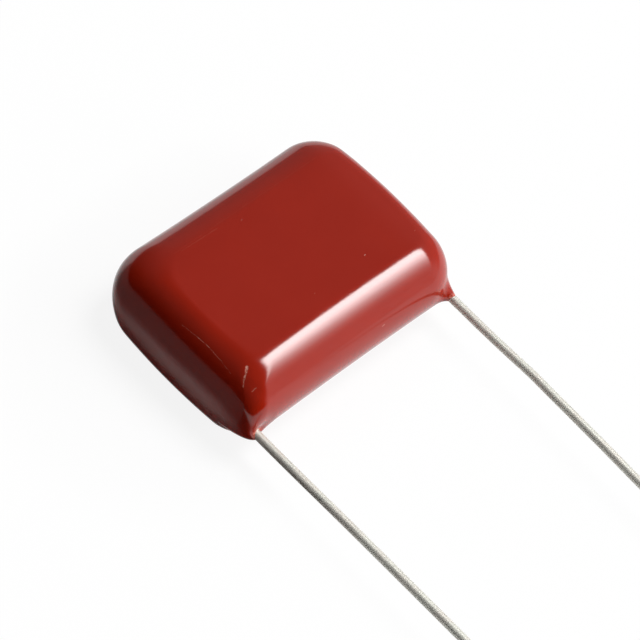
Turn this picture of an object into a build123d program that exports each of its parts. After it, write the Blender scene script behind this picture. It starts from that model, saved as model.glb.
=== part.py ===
from build123d import *
from math import cos, radians, sin, sqrt
import os

os.makedirs("parts", exist_ok=True)

# Radial film capacitor in a dipped coating, lying on its broad face, in millimetres.
# X runs along the lead pitch, the leads point to -Y and +Z is up through the thickness.
# The origin is midway between the leads, on the flat face that it lies on.

# Leads
lead_pitch = 22.5
wire_diameter = 0.8
free_length = 32.0          # from the front of the coating to the cut end
lead_drop = 0.8             # how far the wires lie below the middle of the thickness
weld_reach = 12.8           # length of each wire that is pressed square for its weld
weld_thickness = 0.5        # of the wire on that length
weld_width = 0.66
weld_corner = 0.1
round_start = 0.15          # where the wires turn round, behind the front of the coating
cut_chamfer = 0.06

# Film winding and the metal sprayed on its ends
winding_thickness = 6.0
winding_height = 17.6
slit_gap = 0.12             # what is left of the mandrel hole after pressing
slit_length = 10.0
contact_thickness = 0.9
contact_bevel = 0.75        # all round, where the spray thins out

# Coating over the winding and the leads
face_cover = 0.9            # on the two broad faces
edge_cover = 0.9            # on the front and back
cover_left = 1.1            # over the wires, at the two ends
cover_right = 1.5
widest_left = 1.6           # height at which each end reaches furthest
widest_right = 3.9
top_rounding_left = 3.5     # how far the top face stops short of each end
top_rounding_right = 1.9
under_rounding = 2.0        # the same for the face that it lies on
end_fullness = 2.1          # 2 is an ellipse, more is squarer
corner_radius = 3.7         # in plan, at half thickness
flat_corner_left = 2.6      # in plan, on the broad faces
flat_corner_right = 1.0
waist = 0.15                # how far the long sides draw in at mid length
end_crown = 0.55            # how far the ends bulge at mid height
section_step = 10           # degrees of side rounding between two sections

# Coating drawn out along the wires
sleeve_left = 1.13          # past the corner of the body, on the wire's axis
sleeve_right = 1.07
meniscus_left = 0.12        # hollow radius between the sleeve and the body
meniscus_right = 0.38
sleeve_lip = 0.04           # thickness on the wire at the tip
sleeve_wall = 0.2           # thickness on the wire where each sleeve starts
sleeve_depth = 1.6          # how far inside the body that is

# Sizes that follow
sides = {"left": -1, "right": 1}
wire_radius = wire_diameter / 2
lead_x = lead_pitch / 2
contact_outer_x = lead_x - weld_thickness / 2
film_width = 2 * (contact_outer_x - contact_thickness)
half_height = winding_height / 2 + edge_cover
half_thickness = winding_thickness / 2 + face_cover
reach_left = lead_x + wire_radius + cover_left
reach_right = lead_x + wire_radius + cover_right
lead_z = half_thickness - lead_drop
round_start_y = round_start - half_height
weld_end_y = round_start_y + weld_reach
cut_end_y = -half_height - free_length


def winding_outline():
    # stadium outline of the pressed winding, across its axis
    with Locations((0, half_thickness)):
        SlotOverall(winding_height, winding_thickness)


def end_x(level, reach, widest_level, top_rounding):
    # how far out an end is at a height
    if level > widest_level:
        share = (level - widest_level) / (2 * half_thickness - widest_level)
        rounding = top_rounding
    else:
        share = (widest_level - level) / widest_level
        rounding = under_rounding
    return reach - rounding * (1 - (1 - share**end_fullness) ** (1 / end_fullness))


def corner_at(angle, flat_corner):
    # plan radius of a corner at one angle of the side rounding
    return flat_corner + (corner_radius - flat_corner) * cos(radians(angle))


def coating_section(angle):
    # level section of the coating at one angle of its side rounding, 0 at half thickness
    level = half_thickness * (1 + sin(radians(angle)))
    left_x = -end_x(level, reach_left, widest_left, top_rounding_left)
    right_x = end_x(level, reach_right, widest_right, top_rounding_right)
    side_y = half_height - half_thickness * (1 - cos(radians(angle)))
    front_left = (left_x + end_crown, -side_y)
    front_right = (right_x - end_crown, -side_y)
    back_right = (right_x - end_crown, side_y)
    back_left = (left_x + end_crown, side_y)
    with BuildSketch(Plane.XY.offset(level)) as section:
        with BuildLine():
            ThreePointArc(front_left, (0, waist - side_y), front_right)
            ThreePointArc(front_right, (right_x, 0), back_right)
            ThreePointArc(back_right, (0, side_y - waist), back_left)
            ThreePointArc(back_left, (left_x, 0), front_left)
        make_face()
        fillet(section.vertices().group_by(Axis.X)[0], corner_at(angle, flat_corner_left))
        fillet(section.vertices().group_by(Axis.X)[-1], corner_at(angle, flat_corner_right))
    return section.sketch


def corner_front_y(reach):
    # where a wire's axis comes out through a front corner, at half thickness
    across = lead_x - (reach - end_crown - corner_radius)
    return corner_radius - sqrt(corner_radius**2 - across**2) - half_height


# Winding: all its turns as one solid, with the slit that the mandrel left
with BuildPart() as winding:
    with BuildSketch(Plane.YZ.offset(-film_width / 2)):
        winding_outline()
        with Locations((0, half_thickness)):
            SlotOverall(slit_length, slit_gap, mode=Mode.SUBTRACT)
    extrude(amount=film_width)
winding.part.label = "winding"
export_step(winding.part, "parts/winding.step")

held_pieces = []

# End contacts: metal sprayed on the ends of the winding, thinner towards the outer rim
for name, side in sides.items():
    with BuildPart() as contact:
        with BuildSketch(Plane.YZ.offset(side * film_width / 2)):
            winding_outline()
        extrude(amount=side * contact_thickness)
        outer_face = contact.faces().sort_by(Axis((0, 0, 0), (side, 0, 0)))[-1]
        chamfer(outer_face.edges(), contact_bevel)
    contact.part.label = f"contact_{name}"
    export_step(contact.part, f"parts/contact_{name}.step")
    held_pieces.append(contact.part)

# Leads: straight round wires, pressed square where they are welded to the contacts
for name, side in sides.items():
    with BuildPart() as lead:
        with BuildSketch(Plane.XZ.offset(-weld_end_y)):
            with Locations((side * lead_x, lead_z)):
                RectangleRounded(weld_thickness, weld_width, weld_corner)
        extrude(amount=weld_reach)
        with BuildSketch(Plane.XZ.offset(-round_start_y)):
            with Locations((side * lead_x, lead_z)):
                Circle(wire_radius)
        extrude(amount=round_start_y - cut_end_y)
        chamfer(lead.edges().group_by(Axis.Y)[0], cut_chamfer)
    lead.part.label = f"lead_{name}"
    export_step(lead.part, f"parts/lead_{name}.step")
    held_pieces.append(lead.part)

# Coating: full-round front and back, softly rounded ends, moulded on all that it holds
with BuildPart() as coating:
    loft([coating_section(angle) for angle in range(-90, 91, section_step)])
    for side, reach, sleeve, meniscus in (
        (-1, reach_left, sleeve_left, meniscus_left),
        (1, reach_right, sleeve_right, meniscus_right),
    ):
        sleeve_base_y = corner_front_y(reach)
        with BuildSketch(Plane.XZ.offset(-sleeve_base_y - sleeve_depth)):
            with Locations((side * lead_x, lead_z)):
                Circle(wire_radius + sleeve_wall)
        with BuildSketch(Plane.XZ.offset(sleeve - sleeve_base_y)):
            with Locations((side * lead_x, lead_z)):
                Circle(wire_radius + sleeve_lip)
        loft(ruled=True)
        fillet(coating.edges(Select.NEW), meniscus)
    with BuildSketch(Plane.YZ.offset(-film_width / 2)):
        winding_outline()
    extrude(amount=film_width, mode=Mode.SUBTRACT)
    for piece in held_pieces:
        add(piece, mode=Mode.SUBTRACT)
coating.part.label = "coating"
export_step(coating.part, "parts/coating.step")
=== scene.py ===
# Flat film capacitor in a dipped coating, lying on its broad face on a pale floor.
# Shapes are written in millimetres and turned into metres when a mesh is made.
import math

import bpy
from mathutils import Matrix, Vector


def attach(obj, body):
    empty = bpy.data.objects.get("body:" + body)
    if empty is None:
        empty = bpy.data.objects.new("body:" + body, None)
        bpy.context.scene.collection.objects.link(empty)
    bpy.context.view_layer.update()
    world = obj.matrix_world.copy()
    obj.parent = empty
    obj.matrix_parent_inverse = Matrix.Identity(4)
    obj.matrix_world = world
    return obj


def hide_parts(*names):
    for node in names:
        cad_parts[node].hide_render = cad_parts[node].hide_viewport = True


mm = 0.001

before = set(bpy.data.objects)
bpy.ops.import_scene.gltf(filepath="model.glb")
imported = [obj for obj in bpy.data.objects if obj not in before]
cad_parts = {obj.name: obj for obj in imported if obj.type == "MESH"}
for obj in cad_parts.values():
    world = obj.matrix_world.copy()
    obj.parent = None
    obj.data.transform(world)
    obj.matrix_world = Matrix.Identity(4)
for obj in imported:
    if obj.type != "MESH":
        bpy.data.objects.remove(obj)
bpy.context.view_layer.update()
print("frame loaded:", ", ".join(sorted(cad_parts)))


# Short ways of adding shader and geometry nodes
def addNode(tree, kind, **settings):
    node = tree.nodes.new(kind)
    for key, value in settings.items():
        setattr(node, key, value)
    return node


def feed(tree, socket, value):
    # value is another node's socket or a plain number, vector or colour
    if isinstance(value, (int, float, tuple)):
        socket.default_value = value
    else:
        tree.links.new(value, socket)


def mathNode(tree, operation, first, second=None, clamp=False):
    node = addNode(tree, "ShaderNodeMath", operation=operation, use_clamp=clamp)
    feed(tree, node.inputs[0], first)
    if second is not None:
        feed(tree, node.inputs[1], second)
    return node.outputs[0]


def vectorNode(tree, operation, first, second=None, output=0):
    node = addNode(tree, "ShaderNodeVectorMath", operation=operation)
    feed(tree, node.inputs[0], first)
    if second is not None:
        feed(tree, node.inputs[1], second)
    return node.outputs[output]


def scaleVector(tree, vector, amount):
    node = addNode(tree, "ShaderNodeVectorMath", operation="SCALE")
    tree.links.new(vector, node.inputs[0])
    tree.links.new(amount, node.inputs["Scale"])
    return node.outputs[0]


def splitPlace(tree, place):
    # X, Y and Z of a place or a direction
    node = addNode(tree, "ShaderNodeSeparateXYZ")
    tree.links.new(place, node.inputs[0])
    return node.outputs


def rangeNode(tree, value, fromMin, fromMax, toMin, toMax, smooth=True):
    node = addNode(tree, "ShaderNodeMapRange",
                   interpolation_type="SMOOTHSTEP" if smooth else "LINEAR")
    tree.links.new(value, node.inputs["Value"])
    for name, number in (("From Min", fromMin), ("From Max", fromMax),
                         ("To Min", toMin), ("To Max", toMax)):
        node.inputs[name].default_value = number
    return node.outputs["Result"]


def noiseNode(tree, place, scale, detail=2.0, rough=0.5, output="Fac"):
    # scale is in features per millimetre
    node = addNode(tree, "ShaderNodeTexNoise")
    tree.links.new(place, node.inputs["Vector"])
    node.inputs["Scale"].default_value = scale / mm
    node.inputs["Detail"].default_value = detail
    node.inputs["Roughness"].default_value = rough
    return node.outputs[output]


def mixColors(tree, factor, first, second):
    node = addNode(tree, "ShaderNodeMix", data_type="RGBA")
    tree.links.new(factor, node.inputs["Factor"])
    sockets = [s for s in node.inputs if s.type == "RGBA"]
    for socket, value in zip(sockets, (first, second)):
        feed(tree, socket, (*value, 1.0) if isinstance(value, tuple) else value)
    return [s for s in node.outputs if s.type == "RGBA"][0]


def newMaterial(name):
    material = bpy.data.materials.new(name)
    material.use_nodes = True
    tree = material.node_tree
    shader = tree.nodes["Principled BSDF"]
    place = addNode(tree, "ShaderNodeTexCoord").outputs["Object"]
    return material, tree, shader, place


def addBump(tree, shader, height, strength, distance, under=None):
    # distance is in millimetres, under is the normal that the bump goes on top of
    bump = addNode(tree, "ShaderNodeBump")
    bump.inputs["Strength"].default_value = strength
    bump.inputs["Distance"].default_value = distance * mm
    tree.links.new(height, bump.inputs["Height"])
    if under is not None:
        tree.links.new(under, bump.inputs["Normal"])
    tree.links.new(bump.outputs["Normal"], shader.inputs["Normal"])
    return bump.outputs["Normal"]


def newTree(treeKind, name, inputs, output):
    # inputs: names by kind of socket, output: name and kind
    tree = bpy.data.node_groups.new(name, treeKind)
    for kind, names in inputs.items():
        for label in names:
            tree.interface.new_socket(name=label, in_out="INPUT", socket_type="NodeSocket" + kind)
    tree.interface.new_socket(name=output[0], in_out="OUTPUT", socket_type="NodeSocket" + output[1])
    return tree, addNode(tree, "NodeGroupInput").outputs


def addObject(name, data):
    made = bpy.data.objects.new(name, data)
    bpy.context.scene.collection.objects.link(made)
    return made


noiseMiddle = (0.3, 0.7)                  # most of a noise's values lie between these


# The dipped resin: red-brown, glossy, with the scuffs that it has picked up, painted light lines
# along two of its edges, and a painted highlight where it runs onto the wires
coatingLook = {
    "color": (0.300, 0.0130, 0.0035),
    "darker": (0.288, 0.0120, 0.0031),
    "rimHighlightColor": (0.62, 0.20, 0.15),      # painted highlight: pale pink, in streaks, where the resin runs onto the wires
    "scuffAndSheenColor": (0.60, 0.26, 0.20),
    "roughness": (0.10, 0.13),
    "ior": 1.58,
    # sizes of patterns are in features per millimetre, depths in millimetres
    "toneSize": 0.22,
    "glossSize": 0.5,
    "peelSize": 1.6,
    "peelDepth": 0.0035,
    # painted highlight where the resin runs onto the wires: its middle in x and z, full and none
    # at these distances from it, none and full at these places along y
    "rimHighlightOnWires": [
        {"x": -11.30, "z": 3.02, "around": (0.42, 0.75), "along": (-8.7, -9.5)},
        {"x": 11.28, "z": 3.12, "around": (0.42, 0.62), "along": (-9.4, -10.0)},
    ],
    "streakSize": 4.0,
    "streakRange": (0.38, 0.62),
    "streakLeast": 0.25,
    "markLevel": 4.5,                    # scuffs and painted light lines show above this height only
    "markWobbleSize": 2.5,
    "markWobble": 0.12,                  # how far they stray from straight lines
    "markBreakSize": 5.0,
    "markBreakRange": (0.36, 0.56),
    "markLeast": 0.25,
    "markRoughness": 0.3,                # added to the resin's
    "markDepth": 0.02,
    # from, to, half width and strength: a pair is a place in plan
    "scuffsAndSheenLines": [
        ((-9.92, -6.04), (-10.22, -6.29), 0.15, 1.5),
        ((-10.22, -6.29), (-10.66, -6.60), 0.11, 1.0),
        ((-10.66, -6.60), (-11.04, -6.96), 0.08, 0.6),
        ((-10.34, -7.76), (-10.74, -7.73), 0.06, 0.5),
        # painted highlight: a thin light line along the left end's top edge, where the reflection
        # on the resin changes
        ((-11.11, 0.57), (-10.96, -1.10), 0.03, 0.30),
        ((-10.96, -1.10), (-10.89, -2.60), 0.04, 0.62),
        ((-10.89, -2.60), (-10.93, -4.10), 0.035, 0.42),
        ((-10.93, -4.10), (-11.02, -5.40), 0.03, 0.28),
        # along the back, where its rounding starts: scratches, and a painted light line along them
        ((-6.59, 5.81), (-2.64, 5.69), 0.035, 0.13),
        ((-7.27, 6.00), (9.37, 6.08), 0.03, 0.05),
        ((5.46, -4.03), (5.58, -3.97), 0.07, 0.6),
        ((-0.66, -4.26), (-0.56, -4.22), 0.05, 0.25),
        ((10.72, -4.74), (10.86, -4.70), 0.05, 0.22),
        ((3.12, -9.24, 5.42), (3.32, -9.24, 5.46), 0.10, 0.42),
    ],
}


def scuffAndSheenGroup():
    # 1 along a line between two points, 0 past its half width
    group, given = newTree("ShaderNodeTree", "scuffAndSheenLine", {
        "Vector": ("Place", "Start", "End"), "Float": ("Half width",)}, ("Mask", "Float"))
    along = vectorNode(group, "SUBTRACT", given["End"], given["Start"])
    offset = vectorNode(group, "SUBTRACT", given["Place"], given["Start"])
    reach = vectorNode(group, "DOT_PRODUCT", offset, along, output="Value")
    length = vectorNode(group, "DOT_PRODUCT", along, along, output="Value")
    share = mathNode(group, "DIVIDE", reach, length, clamp=True)
    onLine = scaleVector(group, along, share)
    gap = vectorNode(group, "DISTANCE", offset, onLine, output="Value")
    ratio = mathNode(group, "DIVIDE", gap, given["Half width"])
    mask = rangeNode(group, ratio, 0.15, 1.0, 1.0, 0.0)      # full in the middle 15%
    out = addNode(group, "NodeGroupOutput")
    group.links.new(mask, out.inputs["Mask"])
    return group


def scuffAndSheenMask(tree, place, look):
    group = scuffAndSheenGroup()
    wobble = noiseNode(tree, place, look["markWobbleSize"], 1.0, output="Color")
    wobble = vectorNode(tree, "SUBTRACT", wobble, (0.5, 0.5, 0.5))
    wobble = vectorNode(tree, "MULTIPLY", wobble, (look["markWobble"] * mm,) * 3)
    shifted = vectorNode(tree, "ADD", wobble, place)
    inPlan = vectorNode(tree, "MULTIPLY", shifted, (1.0, 1.0, 0.0))
    height = splitPlace(tree, place)["Z"]
    upperSide = mathNode(tree, "GREATER_THAN", height, look["markLevel"] * mm)
    breaks = rangeNode(tree, noiseNode(tree, place, look["markBreakSize"]),
                       *look["markBreakRange"], look["markLeast"], 1.0)
    total = None
    for start, end, halfWidth, weight in look["scuffsAndSheenLines"]:
        node = addNode(tree, "ShaderNodeGroup", node_tree=group)
        flat = len(start) == 2
        tree.links.new(inPlan if flat else shifted, node.inputs["Place"])
        for name, point in (("Start", start), ("End", end)):
            node.inputs[name].default_value = Vector((*point, 0.0) if flat else point) * mm
        node.inputs["Half width"].default_value = halfWidth * mm
        weighed = mathNode(tree, "MULTIPLY", node.outputs["Mask"], weight)
        total = weighed if total is None else mathNode(tree, "MAXIMUM", total, weighed)
    return mathNode(tree, "MULTIPLY", mathNode(tree, "MULTIPLY", total, breaks), upperSide)


def rimHighlightMask(tree, place, look):
    # 1 where the painted highlight lies round a wire, in streaks
    x, y, z = splitPlace(tree, place)
    rimHighlight = None
    for wire in look["rimHighlightOnWires"]:
        dx = mathNode(tree, "SUBTRACT", x, wire["x"] * mm)
        dz = mathNode(tree, "SUBTRACT", z, wire["z"] * mm)
        squares = (mathNode(tree, "MULTIPLY", side, side) for side in (dx, dz))
        radius = mathNode(tree, "SQRT", mathNode(tree, "ADD", *squares))
        near = rangeNode(tree, radius, *(gap * mm for gap in wire["around"]), 1.0, 0.0)
        start, end = wire["along"]
        front = rangeNode(tree, y, end * mm, start * mm, 1.0, 0.0)
        here = mathNode(tree, "MULTIPLY", near, front)
        rimHighlight = here if rimHighlight is None else mathNode(tree, "MAXIMUM", rimHighlight, here)
    streaks = rangeNode(tree, noiseNode(tree, place, look["streakSize"]),
                        *look["streakRange"], look["streakLeast"], 1.0)
    return mathNode(tree, "MULTIPLY", rimHighlight, streaks)


def makeCoatingMaterial(look):
    material, tree, shader, place = newMaterial("redBrownResin")
    tone = rangeNode(tree, noiseNode(tree, place, look["toneSize"], 3.0), *noiseMiddle, 0.0, 1.0)
    color = mixColors(tree, tone, look["darker"], look["color"])
    # painted highlight in pale pink streaks where the resin runs onto the wires
    color = mixColors(tree, rimHighlightMask(tree, place, look), color, look["rimHighlightColor"])
    # scuffs, and painted light lines along the left top edge and the back
    scuffsAndSheenLines = scuffAndSheenMask(tree, place, look)
    color = mixColors(tree, scuffsAndSheenLines, color, look["scuffAndSheenColor"])
    tree.links.new(color, shader.inputs["Base Color"])
    gloss = rangeNode(tree, noiseNode(tree, place, look["glossSize"], 4.0, 0.6),
                      *noiseMiddle, *look["roughness"])
    markedRoughness = rangeNode(tree, scuffsAndSheenLines, 0.0, 1.0, 0.0, look["markRoughness"], smooth=False)
    tree.links.new(mathNode(tree, "ADD", gloss, markedRoughness), shader.inputs["Roughness"])
    shader.inputs["IOR"].default_value = look["ior"]
    peel = noiseNode(tree, place, look["peelSize"], 3.0, 0.45)
    level = addBump(tree, shader, peel, 1.0, look["peelDepth"])
    markHeight = mathNode(tree, "MULTIPLY", scuffsAndSheenLines, -1.0)
    addBump(tree, shader, markHeight, 0.6, look["markDepth"], under=level)
    return material


# Level sections from the bottom to the top face. Each is a rectangle with its long sides
# drawn in, its ends crowned and its corners rounded off by a circle that touches both.
coatingForm = {
    "halfHeight": 9.7,
    "halfThickness": 3.9,
    # how far each end reaches, the height at which it does so, how far the top face stops
    # short of it, the plan radius of its front and back corners on the broad faces, and how
    # much narrower the front one is in X at mid height
    "ends": {
        "left": {"reach": 12.75, "widestLevel": 1.6, "topRounding": 3.5,
                 "flatCorners": (1.3, 2.8), "narrowing": 0.52},
        "right": {"reach": 13.15, "widestLevel": 3.9, "topRounding": 1.9,
                  "flatCorners": (1.0, 1.0), "narrowing": 0.0},
    },
    "narrowLevels": (0.5, 2.8, 7.0, 7.75),      # it starts, is full, fades and is gone
    "underRounding": 2.0,
    "endFullness": 2.1,                   # 2 is an ellipse, more is squarer
    "cornerRadius": 3.7,                  # in plan, at half thickness
    "waist": 0.15,
    "endCrown": 0.55,
    "waviness": 0.012,
    "waveSize": 4.0,
    # the top face falls a little towards the back and the right: from, to and by how much
    "sag": {"back": (3.8, 7.6, 0.14), "right": (9.2, 12.0, 0.16)},
    # where the resin runs onto the wires: its reach over the body on the side of the other
    # wire, on the outer side, above and below, where it ends on the wire, how much further
    # on one side of it (an angle from +X towards +Z), its inner radius there, how much of it
    # gathers close to the wire, and how hollow it is drawn
    "climbs": [
        {"x": -11.31, "z": 3.01, "reach": (2.2, 1.9, 4.2, 1.5), "tip": -9.66,
         "longer": (215, 0.26), "inner": 0.385, "crowding": 1.3, "hollow": 1.0},
        {"x": 11.28, "z": 3.13, "reach": (2.4, 1.3, 1.9, 1.5), "tip": -10.05,
         "longer": (70, 0.10), "inner": 0.385, "crowding": 2.1, "hollow": 2.6},
    ],
    "climbStart": -6.0,                   # nothing behind this y is drawn out
    # unevenness of the resin's rim on the wire: waves round it, phase and depth
    "rimWaves": ((2, 2.0, 0.010), (5, 0.0, 0.006)),
    "tipWaves": ((3, 1.0, 0.03),),
}
# How closely the coating's vertices are set, in degrees: usual and finest step, and the
# angles between which the finest is used, because the wires come out there
coatingMesh = {
    "sideSteps": (3.0, 0.6),
    "fineSide": (-42, 14),
    "cornerSteps": (3.0, 0.65),
    "fineCorner": (12, 72),
    # steps along half a long side, round a plain corner and along half an end
    "frontSteps": 46,
    "backSteps": 30,
    "plainCornerSteps": 26,
    "endSteps": 30,
    # rings on the broad faces, as shares of their outline
    "faceRings": (0.975, 0.94, 0.88, 0.8, 0.7, 0.58, 0.45, 0.3, 0.15),
}


def endReach(form, end, level):
    # how far out an end is at a height
    shape = form["ends"][end]
    widest = shape["widestLevel"]
    if level > widest:
        share = (level - widest) / (2 * form["halfThickness"] - widest)
        rounding = shape["topRounding"]
    else:
        share = (widest - level) / widest
        rounding = form["underRounding"]
    full = form["endFullness"]
    return shape["reach"] - rounding * (1 - max(0.0, 1 - share**full) ** (1 / full))


def smoothShare(value, start, end):
    share = min(1.0, max(0.0, (value - start) / (end - start)))
    return share * share * (3 - 2 * share)


def sectionOf(form, angle, end, row=0):
    # one quarter of the level section, with x counted towards its own end: row 0 is the
    # front, row 1 the back, laid out as if it were the front
    level = form["halfThickness"] * (1 + math.sin(math.radians(angle)))
    reachX = endReach(form, end, level)
    otherX = endReach(form, "left" if end == "right" else "right", level)
    cornerX = reachX - form["endCrown"]
    sideY = form["halfHeight"] - form["halfThickness"] * (1 - math.cos(math.radians(angle)))
    radius = form["ends"][end]["flatCorners"][row]
    radius += (form["cornerRadius"] - radius) * math.cos(math.radians(angle))
    first, full, fading, last = form["narrowLevels"]
    pull = smoothShare(level, first, full) * (1 - smoothShare(level, fading, last))
    pull *= radius * form["ends"][end]["narrowing"] * (1 - row)
    # the long side's circle goes through both corners and the drawn in middle
    middle = (reachX - otherX) / 2
    drop = ((cornerX - middle) ** 2 - middle**2 - form["waist"] ** 2) / (2 * form["waist"])
    sideRadius = math.hypot(cornerX - middle, drop)
    sideCentre = Vector((middle, -sideY - drop))
    endRadius = (sideY**2 + form["endCrown"] ** 2) / (2 * form["endCrown"])
    endCentre = Vector((reachX - endRadius, 0))
    # the corner's circle lies outside the side's circle and inside the end's circle
    outer = sideRadius + radius
    inner = endRadius - radius
    apart = (endCentre - sideCentre).length
    along = (outer**2 - inner**2 + apart**2) / (2 * apart)
    across = math.sqrt(outer**2 - along**2)
    ahead = (endCentre - sideCentre) / apart
    corner = sideCentre + ahead * along + Vector((ahead.y, -ahead.x)) * across
    return {
        "z": level,
        "sideRadius": sideRadius,
        "sideCentre": sideCentre,
        "endRadius": endRadius,
        "endCentre": endCentre,
        "radius": radius,
        "pull": pull,
        "corner": corner,
        "sideEnd": sideCentre + (corner - sideCentre).normalized() * sideRadius,
        "endStart": endCentre + (corner - endCentre).normalized() * endRadius,
    }


def sideLine(section, x):
    offset = x - section["sideCentre"].x
    return section["sideCentre"].y + math.sqrt(section["sideRadius"] ** 2 - offset**2)


def quarterOutline(section, sideShares, cornerShares, endShares):
    # front middle to the middle of the end
    points = []
    for share in sideShares:
        x = section["sideEnd"].x * share
        points.append((x, sideLine(section, x)))
    first = section["sideEnd"] - section["corner"]
    last = section["endStart"] - section["corner"]
    startAngle = math.atan2(first.y, first.x)
    endAngle = math.atan2(last.y, last.x)
    for share in cornerShares:
        turn = startAngle + (endAngle - startAngle) * share
        points.append((section["corner"].x + section["radius"] * math.cos(turn),
                       section["corner"].y + section["radius"] * math.sin(turn)))
    for share in endShares:
        y = section["endStart"].y * (1 - share)
        x = section["endCentre"].x + math.sqrt(section["endRadius"] ** 2 - y**2)
        points.append((x, y))
    return [(x + narrowed(section, x), y) for x, y in points]


def narrowed(section, x):
    # the corner's start slides out along the straight side, its end stays
    cornerX = section["corner"].x
    if x < cornerX:
        return section["pull"] * smoothShare(x, 0, cornerX)
    return section["pull"] * max(0.0, 1 - (x - cornerX) / section["radius"])


def evenShares(count, withStart=True, withEnd=True):
    shares = [i / count for i in range(count + 1)]
    return shares[0 if withStart else 1: None if withEnd else -1]


def frontSurface(form, x, z):
    # y of the plain front of the coating, and of its corners, at a place across it
    level = max(-1.0, min(1.0, z / form["halfThickness"] - 1))
    section = sectionOf(form, math.degrees(math.asin(level)), "right" if x > 0 else "left")
    x = abs(x)
    cornerX, radius, pull = section["corner"].x, section["radius"], section["pull"]
    if x < cornerX + pull:
        x = min(x, cornerX)
    elif x < cornerX + radius:
        x = (x - pull * (1 + cornerX / radius)) / (1 - pull / radius)
    if x < section["sideEnd"].x:
        return sideLine(section, x)
    if x < section["endStart"].x:
        return section["corner"].y - math.sqrt(radius**2 - (x - cornerX) ** 2)
    depth = section["endRadius"] ** 2 - (x - section["endCentre"].x) ** 2
    return -math.sqrt(max(depth, 0.0))


def wavesAt(turn, waves):
    return sum(depth * math.sin(count * turn + phase) for count, phase, depth in waves)


def climbWire(form, climb, point):
    # draws the resin near a wire out along it; nothing moves past the reach
    dx, dz = point.x - climb["x"], point.z - climb["z"]
    gap = math.hypot(dx, dz)
    if gap < 1e-6:                        # on the wire's very axis
        dx, gap = 1e-6, 1e-6
    inward, outward, above, below = climb["reach"]
    across = inward if dx * climb["x"] < 0 else outward
    upright = above if dz > 0 else below
    reach = 1 / math.hypot(dx / gap / across, dz / gap / upright)
    share = gap / reach
    if share >= 1:
        return point
    turn = math.atan2(dz, dx)
    inner = climb["inner"] + wavesAt(turn, form["rimWaves"])
    flow = share ** climb["crowding"]
    radius = inner + (reach - inner) * flow
    x = climb["x"] + dx / gap * radius
    z = climb["z"] + dz / gap * radius
    towards, amount = climb["longer"]
    tip = climb["tip"] - amount * math.cos(turn - math.radians(towards))
    tip += wavesAt(turn, form["tipWaves"])
    body = frontSurface(form, x, z)
    return Vector((x, body + (tip - body) * (1 - flow) ** climb["hollow"], z))


def sagTop(form, point):
    # lowers the upper half a little towards the back and the right
    share = max(0.0, point.z / form["halfThickness"] - 1)
    for value, side in ((point.y, "back"), (point.x, "right")):
        start, end, depth = form["sag"][side]
        point = point - Vector((0, 0, depth * smoothShare(value, start, end) * share))
    return point


def makeCoating(form, spacing):
    usual, finest = spacing["sideSteps"]
    low, high = spacing["fineSide"]
    angles = [-90.0, -89.4, -88.5]
    angle = -87.0
    while angle < 87.5:
        angles.append(angle)
        angle += finest if low < angle < high else usual
    angles += [88.5, 89.4, 90.0]
    usual, finest = spacing["cornerSteps"]
    low, high = spacing["fineCorner"]
    fineCorner = [0.0]
    while fineCorner[-1] < 0.999:
        turn = fineCorner[-1] * 90
        step = finest if low < turn < high else usual
        fineCorner.append(min(1.0, fineCorner[-1] + step / 90))
    plainCorner = evenShares(spacing["plainCornerSteps"])
    halfEnd = evenShares(spacing["endSteps"], withStart=False)
    frontParts = (evenShares(spacing["frontSteps"], withEnd=False), fineCorner, halfEnd)
    backParts = (evenShares(spacing["backSteps"], withEnd=False), plainCorner, halfEnd)
    verts, faces, ringStarts = [], [], []
    for angle in angles:
        right, left = (sectionOf(form, angle, end) for end in ("right", "left"))
        backRight, backLeft = (sectionOf(form, angle, end, 1) for end in ("right", "left"))
        ring = quarterOutline(right, *frontParts)
        ring += [(x, -y) for x, y in reversed(quarterOutline(backRight, *backParts)[:-1])]
        ring += [(-x, -y) for x, y in quarterOutline(backLeft, *backParts)[1:]]
        ring += [(-x, y) for x, y in reversed(quarterOutline(left, *frontParts)[1:-1])]
        count = len(ring)
        ringStarts.append(len(verts))
        for x, y in ring:
            verts.append(Vector((x, y, right["z"])))
    for lower, upper in zip(ringStarts, ringStarts[1:]):
        for i in range(count):
            after = (i + 1) % count
            faces.append((lower + i, lower + after, upper + after, upper + i))
    # broad faces: rings drawn in to the middle
    for start, isTop in ((ringStarts[-1], True), (ringStarts[0], False)):
        previous = start
        for share in spacing["faceRings"]:
            here = len(verts)
            for i in range(count):
                rim = verts[start + i]
                verts.append(Vector((rim.x * share, rim.y * share, rim.z)))
            for i in range(count):
                after = (i + 1) % count
                quad = (previous + i, previous + after, here + after, here + i)
                faces.append(quad if isTop else tuple(reversed(quad)))
            previous = here
        middle = len(verts)
        verts.append(Vector((0, 0, verts[start].z)))
        for i in range(count):
            after = (i + 1) % count
            triangle = (previous + i, previous + after, middle)
            faces.append(triangle if isTop else tuple(reversed(triangle)))
    for index, vert in enumerate(verts):
        if vert.y < form["climbStart"]:
            for climb in form["climbs"]:
                if math.hypot(vert.x - climb["x"], vert.z - climb["z"]) < max(climb["reach"]):
                    vert = climbWire(form, climb, vert)
        verts[index] = sagTop(form, vert)
    mesh = bpy.data.meshes.new("coatingShell")
    mesh.from_pydata([vert * mm for vert in verts], [], faces)
    mesh.update()
    return addObject("coatingShell", mesh)


def socketId(tree, name):
    for item in tree.interface.items_tree:
        if item.item_type == "SOCKET" and item.in_out == "INPUT" and item.name == name:
            return item.identifier
    raise KeyError(name)


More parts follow.
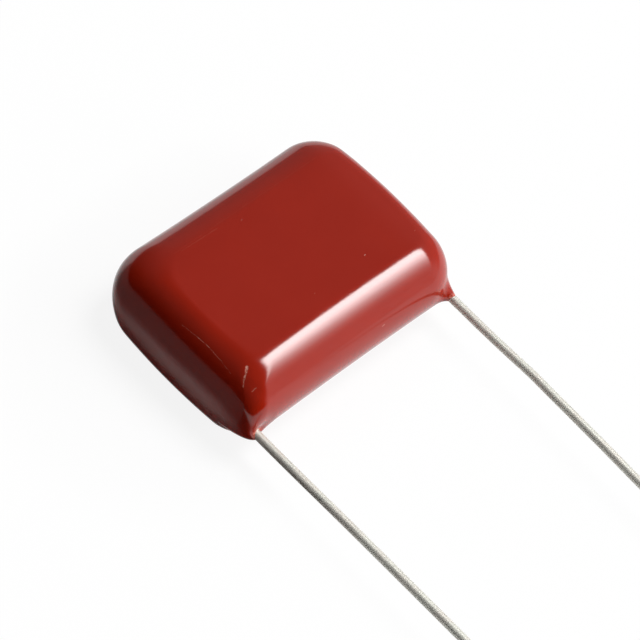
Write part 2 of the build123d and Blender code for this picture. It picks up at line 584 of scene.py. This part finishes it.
def bakeNodes(thing, tree, settings, name):
    # runs a node tree on an object and keeps the result as a plain mesh
    modifier = thing.modifiers.new(name, "NODES")
    modifier.node_group = tree
    for key, value in settings.items():
        modifier[socketId(tree, key)] = value
    bpy.context.view_layer.update()
    depsgraph = bpy.context.evaluated_depsgraph_get()
    mesh = bpy.data.meshes.new_from_object(thing.evaluated_get(depsgraph), depsgraph=depsgraph)
    mesh.name = name
    thing.modifiers.clear()
    made = addObject(name, mesh)
    bpy.data.objects.remove(thing)
    return made


# Waves and nibs of the dried resin: the surface flows a little, with a few grains under it
flowSettings = {
    "Wave depth": coatingForm["waviness"] * mm,
    "Wave size": coatingForm["waveSize"] * mm,
    "Nib density": 14000.0,
    "Nib size": 0.055 * mm,
    "Seed": 7,
}
nibForm = {"Segments": 10, "Rings": 6, "flatness": 0.3, "sizes": (0.35, 1.0)}
waveMiddle = 0.62                         # above a noise's mean, so mostly inwards


def pushOut(tree, geometry, height, depth):
    # moves a surface along its normals
    normal = addNode(tree, "GeometryNodeInputNormal").outputs[0]
    push = scaleVector(tree, normal, mathNode(tree, "MULTIPLY", height, depth))
    moved = addNode(tree, "GeometryNodeSetPosition")
    tree.links.new(geometry, moved.inputs["Geometry"])
    tree.links.new(push, moved.inputs["Offset"])
    return moved.outputs[0]


def finishTree(tree, geometry, material):
    real = addNode(tree, "GeometryNodeRealizeInstances")
    tree.links.new(geometry, real.inputs[0])
    smooth = addNode(tree, "GeometryNodeSetShadeSmooth")
    tree.links.new(real.outputs[0], smooth.inputs["Geometry"])
    dressed = addNode(tree, "GeometryNodeSetMaterial")
    dressed.inputs["Material"].default_value = material
    tree.links.new(smooth.outputs[0], dressed.inputs["Geometry"])
    out = addNode(tree, "NodeGroupOutput")
    tree.links.new(dressed.outputs[0], out.inputs["Geometry"])


def makeFlowTree(material, nib):
    tree, given = newTree("GeometryNodeTree", "resinFlow", {
        "Geometry": ("Geometry",), "Float": ("Wave depth", "Wave size", "Nib density", "Nib size"),
        "Int": ("Seed",)}, ("Geometry", "Geometry"))
    waves = addNode(tree, "ShaderNodeTexNoise")
    tree.links.new(addNode(tree, "GeometryNodeInputPosition").outputs[0], waves.inputs["Vector"])
    tree.links.new(mathNode(tree, "DIVIDE", 1.0, given["Wave size"]), waves.inputs["Scale"])
    waves.inputs["Detail"].default_value = 1.0
    lift = mathNode(tree, "SUBTRACT", waves.outputs["Fac"], waveMiddle)
    moved = pushOut(tree, given["Geometry"], lift, given["Wave depth"])
    # nibs: low domes scattered over the surface
    scatter = addNode(tree, "GeometryNodeDistributePointsOnFaces")
    tree.links.new(moved, scatter.inputs["Mesh"])
    tree.links.new(given["Nib density"], scatter.inputs["Density"])
    tree.links.new(given["Seed"], scatter.inputs["Seed"])
    dome = addNode(tree, "GeometryNodeMeshUVSphere")
    for name in ("Segments", "Rings"):
        dome.inputs[name].default_value = nib[name]
    tree.links.new(given["Nib size"], dome.inputs["Radius"])
    flatten = addNode(tree, "GeometryNodeTransform")
    tree.links.new(dome.outputs[0], flatten.inputs["Geometry"])
    flatten.inputs["Scale"].default_value = (1.0, 1.0, nib["flatness"])
    placed = addNode(tree, "GeometryNodeInstanceOnPoints")
    tree.links.new(scatter.outputs["Points"], placed.inputs["Points"])
    tree.links.new(flatten.outputs[0], placed.inputs["Instance"])
    tree.links.new(scatter.outputs["Rotation"], placed.inputs["Rotation"])
    sizes = addNode(tree, "FunctionNodeRandomValue", data_type="FLOAT")
    sizes.inputs[2].default_value, sizes.inputs[3].default_value = nib["sizes"]
    tree.links.new(sizes.outputs[1], placed.inputs["Scale"])
    joined = addNode(tree, "GeometryNodeJoinGeometry")
    tree.links.new(placed.outputs[0], joined.inputs[0])
    tree.links.new(moved, joined.inputs[0])
    finishTree(tree, joined.outputs[0], material)
    return tree


resin = makeCoatingMaterial(coatingLook)
coatingShell = bakeNodes(makeCoating(coatingForm, coatingMesh), makeFlowTree(resin, nibForm),
                         flowSettings, "coatingShell")
print("coating made:", len(coatingShell.data.polygons), "faces")


# Tinned wires, a little bent and uneven
leadForm = {
    "radius": 0.4,
    "sides": 28,
    "pathGap": 0.5,                       # between the points of a wire's line
    "pointGap": 0.12,                     # between its rings of vertices
    "cutChamfer": 0.06,
    "drawnDepth": 0.006,                  # unevenness of the tin
    "drawnSize": 0.9,                     # features per millimetre
    # y, then how far the wire strays in x and z from its straight line
    "paths": {
        "left": [(-8.2, -0.06, -0.09), (-10.8, -0.07, -0.11), (-15.0, -0.06, -0.08),
                 (-20.4, -0.02, -0.03), (-25.6, 0.0, -0.01), (-32.8, 0.02, 0.0),
                 (-41.7, 0.03, 0.0)],
        "right": [(-8.2, 0.03, 0.03), (-10.5, 0.03, 0.03), (-14.4, 0.0, 0.01),
                  (-17.3, 0.03, 0.01), (-19.8, 0.08, 0.02), (-22.1, 0.02, 0.01),
                  (-24.9, -0.03, -0.02), (-28.7, -0.1, -0.08), (-32.4, -0.2, -0.15),
                  (-41.7, -0.35, -0.3)],
    },
    "line": {"left": (-11.25, 3.1), "right": (11.25, 3.1)},
}
tinLook = {
    "color": (0.66, 0.655, 0.59),
    "warm": (0.66, 0.63, 0.57),
    "dark": (0.46, 0.46, 0.42),
    "metallic": 0.35,
    "roughness": (0.45, 0.60),
    "drawnSize": 3.0,                     # sizes are in features per millimetre
    "drawnStretch": 0.16,                 # of that along the wire
    "drawnDepth": 0.006,
    "patchSize": 0.55,
    "patchRange": (0.42, 0.62),
    "pitSize": 5.0,
    "pitRange": (0.56, 0.68),
    "pitShare": 0.5,
    "grainSize": 5.0,
    "grainDepth": 0.004,
}


def makeTinMaterial(look):
    material, tree, shader, place = newMaterial("dullTin")
    stretched = addNode(tree, "ShaderNodeMapping")
    tree.links.new(place, stretched.inputs["Vector"])
    stretched.inputs["Scale"].default_value = (1.0, look["drawnStretch"], 1.0)
    drawn = noiseNode(tree, stretched.outputs[0], look["drawnSize"], 4.0, 0.6)
    patches = rangeNode(tree, noiseNode(tree, place, look["patchSize"], 3.0),
                        *look["patchRange"], 0.0, 1.0)
    color = mixColors(tree, patches, look["color"], look["warm"])
    pits = rangeNode(tree, noiseNode(tree, place, look["pitSize"], 3.0, 0.6),
                     *look["pitRange"], 0.0, look["pitShare"])
    color = mixColors(tree, pits, color, look["dark"])
    tree.links.new(color, shader.inputs["Base Color"])
    shader.inputs["Metallic"].default_value = look["metallic"]
    roughness = rangeNode(tree, drawn, *noiseMiddle, *look["roughness"])
    tree.links.new(roughness, shader.inputs["Roughness"])
    level = addBump(tree, shader, drawn, 0.5, look["drawnDepth"])
    grain = noiseNode(tree, place, look["grainSize"])
    addBump(tree, shader, grain, 0.4, look["grainDepth"], under=level)
    return material


def makeWireTree(form, material):
    tree, given = newTree("GeometryNodeTree", "drawnWire", {
        "Geometry": ("Geometry",), "Float": ("Wire radius", "Point gap", "Chamfer", "Unevenness"),
        "Int": ("Sides", "Seed")}, ("Geometry", "Geometry"))
    even = addNode(tree, "GeometryNodeResampleCurve", mode="LENGTH")
    tree.links.new(given["Geometry"], even.inputs["Curve"])
    tree.links.new(given["Point gap"], even.inputs["Length"])
    # the radius draws in over the last point, for the cut end's chamfer
    parameter = addNode(tree, "GeometryNodeSplineParameter")
    length = addNode(tree, "GeometryNodeSplineLength")
    left = mathNode(tree, "SUBTRACT", length.outputs["Length"], parameter.outputs["Length"])
    atEnd = mathNode(tree, "LESS_THAN", left, 0.01 * mm)
    cut = mathNode(tree, "MULTIPLY", atEnd, given["Chamfer"])
    radius = addNode(tree, "GeometryNodeSetCurveRadius")
    tree.links.new(even.outputs[0], radius.inputs["Curve"])
    tree.links.new(mathNode(tree, "SUBTRACT", given["Wire radius"], cut), radius.inputs["Radius"])
    circle = addNode(tree, "GeometryNodeCurvePrimitiveCircle")
    circle.inputs["Radius"].default_value = 1.0
    tree.links.new(given["Sides"], circle.inputs["Resolution"])
    tube = addNode(tree, "GeometryNodeCurveToMesh")
    tree.links.new(radius.outputs[0], tube.inputs["Curve"])
    tree.links.new(circle.outputs["Curve"], tube.inputs["Profile Curve"])
    tube.inputs["Fill Caps"].default_value = True
    spread = addNode(tree, "GeometryNodeInputRadius")
    tree.links.new(spread.outputs[0], tube.inputs["Scale"])
    # unevenness of the tin
    place = addNode(tree, "GeometryNodeInputPosition").outputs[0]
    grain = addNode(tree, "ShaderNodeTexNoise", noise_dimensions="4D")
    grain.inputs["Scale"].default_value = form["drawnSize"] / mm
    tree.links.new(place, grain.inputs["Vector"])
    tree.links.new(given["Seed"], grain.inputs["W"])
    lift = mathNode(tree, "SUBTRACT", grain.outputs["Fac"], 0.5)
    finishTree(tree, pushOut(tree, tube.outputs[0], lift, given["Unevenness"]), material)
    return tree


def smoothPath(points, gap):
    # even points on a smooth line through the given (y, x, z) points
    path = []
    y = points[0][0]
    while y > points[-1][0]:
        index = max(i for i, point in enumerate(points) if point[0] >= y)
        index = min(index, len(points) - 2)
        before = points[max(index - 1, 0)]
        start, end = points[index], points[index + 1]
        after = points[min(index + 2, len(points) - 1)]
        span = end[0] - start[0]
        t = (y - start[0]) / span
        row = []
        for k in (1, 2):
            slopeStart = (end[k] - before[k]) / (end[0] - before[0])
            slopeEnd = (after[k] - start[k]) / (after[0] - start[0])
            row.append(start[k] * (2 * t**3 - 3 * t**2 + 1)
                       + end[k] * (3 * t**2 - 2 * t**3)
                       + slopeStart * span * (t**3 - 2 * t**2 + t)
                       + slopeEnd * span * (t**3 - t**2))
        path.append((row[0], y, row[1]))
        y -= gap
    path.append((points[-1][1], points[-1][0], points[-1][2]))
    return path


def makeLead(form, tree, side, seed):
    lineX, lineZ = form["line"][side]
    points = [(y, lineX + dx, lineZ + dz) for y, dx, dz in form["paths"][side]]
    path = smoothPath(points, form["pathGap"])
    curve = bpy.data.curves.new("leadPath", "CURVE")
    curve.dimensions = "3D"
    spline = curve.splines.new("POLY")
    spline.points.add(len(path) - 1)
    for point, place in zip(spline.points, path):
        point.co = (*(Vector(place) * mm), 1.0)
    settings = {
        "Wire radius": form["radius"] * mm,
        "Point gap": form["pointGap"] * mm,
        "Chamfer": form["cutChamfer"] * mm,
        "Unevenness": form["drawnDepth"] * mm,
        "Sides": form["sides"],
        "Seed": seed,
    }
    return bakeNodes(addObject("leadPath", curve), tree, settings, "leadWire_" + side)


tin = makeTinMaterial(tinLook)
wireTree = makeWireTree(leadForm, tin)
leads = {side: makeLead(leadForm, wireTree, side, seed)
         for seed, side in enumerate(("left", "right"))}
print("leads made:", sum(len(lead.data.polygons) for lead in leads.values()), "faces")


# What the coating hides: the film winding and the metal sprayed on its ends
insideLook = {
    "film": {"color": (0.55, 0.56, 0.58), "edge": (0.42, 0.43, 0.46), "layerSize": 2.0,
             "distortion": 0.6, "metallic": 0.6, "roughness": (0.28, 0.40), "depth": 0.01},
    "zinc": {"color": (0.42, 0.42, 0.41), "grain": (0.30, 0.30, 0.29), "grainSize": 5.0,
             "metallic": 0.9, "roughness": (0.55, 0.75), "depth": 0.04},
}


def finishInside(tree, shader, place, look, pattern, dark, size, strength):
    # colour and relief from a pattern, gloss from a noise of its own size
    tree.links.new(mixColors(tree, pattern, dark, look["color"]), shader.inputs["Base Color"])
    gloss = rangeNode(tree, noiseNode(tree, place, size), *noiseMiddle, *look["roughness"])
    tree.links.new(gloss, shader.inputs["Roughness"])
    shader.inputs["Metallic"].default_value = look["metallic"]
    addBump(tree, shader, pattern, strength, look["depth"])


def makeFilmMaterial(look):
    material, tree, shader, place = newMaterial("metallisedFilm")
    layers = addNode(tree, "ShaderNodeTexWave", wave_type="BANDS", bands_direction="Z")
    tree.links.new(place, layers.inputs["Vector"])
    layers.inputs["Scale"].default_value = look["layerSize"] / mm
    layers.inputs["Distortion"].default_value = look["distortion"]
    finishInside(tree, shader, place, look, layers.outputs["Fac"], look["edge"], 1.0, 0.4)
    return material


def makeZincMaterial(look):
    material, tree, shader, place = newMaterial("sprayedZinc")
    grains = addNode(tree, "ShaderNodeTexVoronoi")
    tree.links.new(place, grains.inputs["Vector"])
    grains.inputs["Scale"].default_value = look["grainSize"] / mm
    finishInside(tree, shader, place, look, grains.outputs["Distance"], look["grain"], 2.0, 0.8)
    return material


def dress(node, material):
    node.data.materials.clear()
    node.data.materials.append(material)


dress(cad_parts["winding"], makeFilmMaterial(insideLook["film"]))
zinc = makeZincMaterial(insideLook["zinc"])
for side in ("left", "right"):
    dress(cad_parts["contact_" + side], zinc)
for hidden, finish in (("coating", resin), ("lead_left", tin), ("lead_right", tin)):
    dress(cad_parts[hidden], finish)


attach(coatingShell, "root")
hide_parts("coating")
for side, lead in leads.items():
    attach(lead, "root")
    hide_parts("lead_" + side)
print("pieces on the frame")


# Pale floor, soft light from the front right and a darker room on the left
studio = {
    "floorSize": 4.0,                     # metres
    "floorSteps": 8,
    "floorColor": (0.90, 0.90, 0.90),
    # how the object sees the floor, all of it painted light and shade: bright in front, less so
    # behind it, and on its left a shaded strip and then painted dark for the dark of the room.
    # Places are in millimetres
    "shadeColor": (1.0, 0.94, 0.91),
    "darkShadeColor": (0.22, 0.19, 0.185),
    "darkStart": (14.0, 21.0),            # from the middle of the object
    "mattShadeColor": (0.44, 0.39, 0.38),      # painted shade on the left side, as a matt surface sees it
    "cornerShadeColor": (0.03, 0.02, 0.02),    # painted dark, as gloss on the front left corner sees it
    "leftEdge": (-14.0, -8.8),            # x, dark to bright
    "leftFront": (-22.0, -15.5),          # y, bright to dark
    "leftCorner": (-10.0, -3.0),          # y, the corner's colour to the dark one
    "backEdge": (2.0, 10.0),              # y, bright to less bright
    "backShare": 0.6,
    # the backdrop is seen white, less so where the object's shadow falls: its middle, half
    # its size, how square it is and where it fades out
    "shadeMiddle": (-4.0, 2.0),
    "shadeHalf": (17.0, 12.5),
    "shadeSquareness": 2.5,
    "shadeFade": (0.8, 2.6),
    "whiteNear": 0.88,
    "whiteFar": 0.97,
    # the room: dark on the left, brighter towards +X, brightest in front. Each part grows
    # with its direction, and the front and back ones also towards +X
    "skyLeft": 0.05,
    "skyLeftFrom": (0.20, 0.80),
    "skyRight": 0.30,
    "skyRightFrom": (0.15, 0.85),
    "skyFront": 0.64,
    "skyFrontFrom": (0.30, 0.80),
    "skyFrontSide": (-0.15, 0.85),
    "skyBack": 0.08,
    "skyBackFrom": (0.45, 0.80),
    "skyBackSide": (-0.40, 0.30),
    "softboxDistance": 0.6,               # metres, as its size is
    "softboxAcross": 0.34,
    "softboxAlong": 0.72,
    # where it fades out towards its sides and its top, as shares of its size, and how the
    # two meet in a rounded corner
    "softboxEnds": (0.12, 0.50),
    "softboxTop": (0.84, 1.0),
    "softboxCorner": (0.4, 1.0),
    "softboxTilt": 62.5,                  # degrees above the front horizon
    "softboxAside": 0.47,                 # share of its direction towards +X
    "softboxPower": 12.2,
    # brightness from the low end of the softbox to its top edge
    "softboxRamp": [(0.0, 0.0), (0.157, 0.02), (0.298, 0.07), (0.416, 0.2), (0.494, 0.33),
                    (0.584, 0.58), (0.676, 0.80), (0.75, 1.0), (1.0, 1.0)],
    # a low, matt fill from the front right, which gloss doesn't show
    "fillFrom": (0.42, -0.86, 0.22),
    "fillDistance": 0.8,
    "fillSize": 0.4,
    "fillPower": 3.6,
}


def makeFloor(settings):
    size, steps = settings["floorSize"], settings["floorSteps"]
    half = size / 2
    row = steps + 1
    verts = [(-half + size * i / steps, -half + size * j / steps, 0)
             for j in range(row) for i in range(row)]
    faces = [(j * row + i, j * row + i + 1, (j + 1) * row + i + 1, (j + 1) * row + i)
             for j in range(steps) for i in range(steps)]
    mesh = bpy.data.meshes.new("floor")
    mesh.from_pydata(verts, [], faces)
    mesh.materials.append(makeFloorMaterial(settings))
    addObject("floor", mesh)


def makeFloorMaterial(settings):
    material, tree, shader, place = newMaterial("paleFloor")
    tree.nodes.remove(shader)
    split = splitPlace(tree, place)

    def spanOf(name, axis, toMin, toMax):
        return rangeNode(tree, split[axis], *(edge * mm for edge in settings[name]), toMin, toMax)

    # 1 in the object's shadow, 0 away from it
    powers = []
    for axis, middle, reach in zip("XY", settings["shadeMiddle"], settings["shadeHalf"]):
        offset = mathNode(tree, "SUBTRACT", split[axis], middle * mm)
        ratio = mathNode(tree, "ABSOLUTE", mathNode(tree, "DIVIDE", offset, reach * mm))
        powers.append(mathNode(tree, "POWER", ratio, settings["shadeSquareness"]))
    shade = rangeNode(tree, mathNode(tree, "ADD", *powers), *settings["shadeFade"], 1.0, 0.0)
    # painted light: 1 in front of the object, less behind it, 0 on its left
    bright = mathNode(tree, "MAXIMUM", spanOf("leftEdge", "X", 0.0, 1.0),
                      spanOf("leftFront", "Y", 1.0, 0.0))
    bright = mathNode(tree, "MULTIPLY", bright,
                      spanOf("backEdge", "Y", 1.0, settings["backShare"]))
    # colour by who looks: the camera sees the pale floor, the object's matt side and its gloss see
    # painted light and shade
    path = addNode(tree, "ShaderNodeLightPath").outputs
    away = vectorNode(tree, "LENGTH", place, output="Value")
    near, far = (distance * mm for distance in settings["darkStart"])
    left = mixColors(tree, rangeNode(tree, away, near, far, 0.0, 1.0),
                     settings["shadeColor"], settings["darkShadeColor"])
    left = mixColors(tree, spanOf("leftCorner", "Y", 1.0, 0.0), left, settings["cornerShadeColor"])
    left = mixColors(tree, path["Is Diffuse Ray"], left, settings["mattShadeColor"])
    unseen = mixColors(tree, bright, left, settings["floorColor"])
    color = mixColors(tree, path["Is Camera Ray"], unseen, settings["floorColor"])
    pale = addNode(tree, "ShaderNodeBsdfDiffuse")
    tree.links.new(color, pale.inputs["Color"])
    # white backdrop for the camera, and for gloss where the floor is bright
    white = addNode(tree, "ShaderNodeEmission")
    level = rangeNode(tree, shade, 0.0, 1.0, settings["whiteFar"], settings["whiteNear"],
                      smooth=False)
    seenWhite = mathNode(tree, "MULTIPLY", path["Is Camera Ray"], level)
    mirrored = mathNode(tree, "ADD", path["Is Glossy Ray"], path["Is Transmission Ray"], clamp=True)
    mirrorWhite = mathNode(tree, "MULTIPLY", mirrored,
                           mathNode(tree, "MULTIPLY", bright, settings["whiteFar"]))
    mix = addNode(tree, "ShaderNodeMixShader")
    tree.links.new(mathNode(tree, "ADD", seenWhite, mirrorWhite, clamp=True), mix.inputs["Fac"])
    tree.links.new(pale.outputs[0], mix.inputs[1])
    tree.links.new(white.outputs[0], mix.inputs[2])
    tree.links.new(mix.outputs[0], tree.nodes["Material Output"].inputs["Surface"])
    return material


def makeSky(settings):
    world = bpy.data.worlds.new("studioRoom")
    bpy.context.scene.world = world
    world.use_nodes = True
    tree = world.node_tree
    x, y, z = splitPlace(tree, addNode(tree, "ShaderNodeTexCoord").outputs["Generated"])
    ahead = mathNode(tree, "MULTIPLY", y, -1.0)
    level = None
    for name, along in (("skyLeft", z), ("skyRight", x), ("skyFront", ahead), ("skyBack", y)):
        part = rangeNode(tree, along, *settings[name + "From"], 0.0, settings[name])
        if name + "Side" in settings:
            side = rangeNode(tree, x, *settings[name + "Side"], 0.0, 1.0)
            part = mathNode(tree, "MULTIPLY", part, side)
        level = part if level is None else mathNode(tree, "ADD", level, part)
    tree.links.new(level, tree.nodes["Background"].inputs["Strength"])
    tree.nodes["Background"].inputs["Color"].default_value = (1.0, 1.0, 1.0, 1.0)


def makeSoftbox(settings):
    tilt = math.radians(settings["softboxTilt"])
    aside = settings["softboxAside"]
    rest = math.sqrt(1 - aside**2)
    towards = Vector((aside, -rest * math.cos(tilt), rest * math.sin(tilt)))
    up = Vector((0, math.sin(tilt), math.cos(tilt)))
    up = (up - towards * up.dot(towards)).normalized()
    light = bpy.data.lights.new("softbox", "AREA")
    light.shape = "RECTANGLE"
    light.size = settings["softboxAcross"]
    light.size_y = settings["softboxAlong"]
    light.energy = settings["softboxPower"]
    light.use_nodes = True
    tree = light.node_tree
    spot = splitPlace(tree, addNode(tree, "ShaderNodeNewGeometry").outputs["Parametric"])
    ramp = addNode(tree, "ShaderNodeValToRGB")
    stops = settings["softboxRamp"]
    while len(ramp.color_ramp.elements) < len(stops):
        ramp.color_ramp.elements.new(0.5)
    for element, (position, level) in zip(ramp.color_ramp.elements, stops):
        element.position = position
        element.color = (level, level, level, 1)
    tree.links.new(spot["Y"], ramp.inputs["Fac"])
    offCentre = mathNode(tree, "ABSOLUTE", mathNode(tree, "SUBTRACT", spot["X"], 0.5))
    corner = addNode(tree, "ShaderNodeCombineXYZ")
    for axis, spread, (start, end) in (("X", offCentre, settings["softboxEnds"]),
                                       ("Y", spot["Y"], settings["softboxTop"])):
        faded = rangeNode(tree, spread, start, end, 0.0, 1.0, smooth=False)
        tree.links.new(faded, corner.inputs[axis])
    out = vectorNode(tree, "LENGTH", corner.outputs[0], output="Value")
    ends = rangeNode(tree, out, *settings["softboxCorner"], 1.0, 0.0)
    strength = mathNode(tree, "MULTIPLY", ramp.outputs["Color"], ends)
    tree.links.new(strength, tree.nodes["Emission"].inputs["Strength"])
    turn = Matrix((up.cross(towards), up, towards)).transposed()
    addObject("softbox", light).matrix_world = (
        Matrix.Translation(towards * settings["softboxDistance"]) @ turn.to_4x4())


def makeFill(settings):
    towards = Vector(settings["fillFrom"]).normalized()
    light = bpy.data.lights.new("fill", "AREA")
    light.shape = "DISK"
    light.size = settings["fillSize"]
    light.energy = settings["fillPower"]
    lamp = addObject("fill", light)
    lamp.matrix_world = (Matrix.Translation(towards * settings["fillDistance"])
                         @ towards.to_track_quat("Z", "Y").to_matrix().to_4x4())
    lamp.visible_glossy = False


# The photographed view: azimuth from the front, elevation and roll in degrees
cameraView = {
    "azimuth": -55.61,
    "elevation": 55.08,
    "roll": 15.0,
    "place": (-131.43, -95.01, 232.34),
    "lens": 185.45,
    "sensor": 36.0,
    "clip": (0.01, 20.0),                 # metres
}


def makeCamera(view):
    turn, tilt, roll = (math.radians(view[key]) for key in ("azimuth", "elevation", "roll"))
    back = Vector((math.sin(turn) * math.cos(tilt), -math.cos(turn) * math.cos(tilt),
                   math.sin(tilt)))
    right = Vector((0, 0, 1)).cross(back).normalized()
    up = back.cross(right)
    rolledRight = right * math.cos(roll) + up * math.sin(roll)
    rolledUp = up * math.cos(roll) - right * math.sin(roll)
    data = bpy.data.cameras.new("photoCamera")
    data.lens = view["lens"]
    data.sensor_width = view["sensor"]
    data.clip_start, data.clip_end = view["clip"]
    camera = addObject("photoCamera", data)
    matrix = Matrix((rolledRight, rolledUp, back)).transposed().to_4x4()
    camera.matrix_world = Matrix.Translation(Vector(view["place"]) * mm) @ matrix
    bpy.context.scene.camera = camera


makeFloor(studio)
makeSky(studio)
makeSoftbox(studio)
makeFill(studio)
makeCamera(cameraView)
bpy.context.scene.view_settings.view_transform = "Standard"
print("floor, light and camera set")
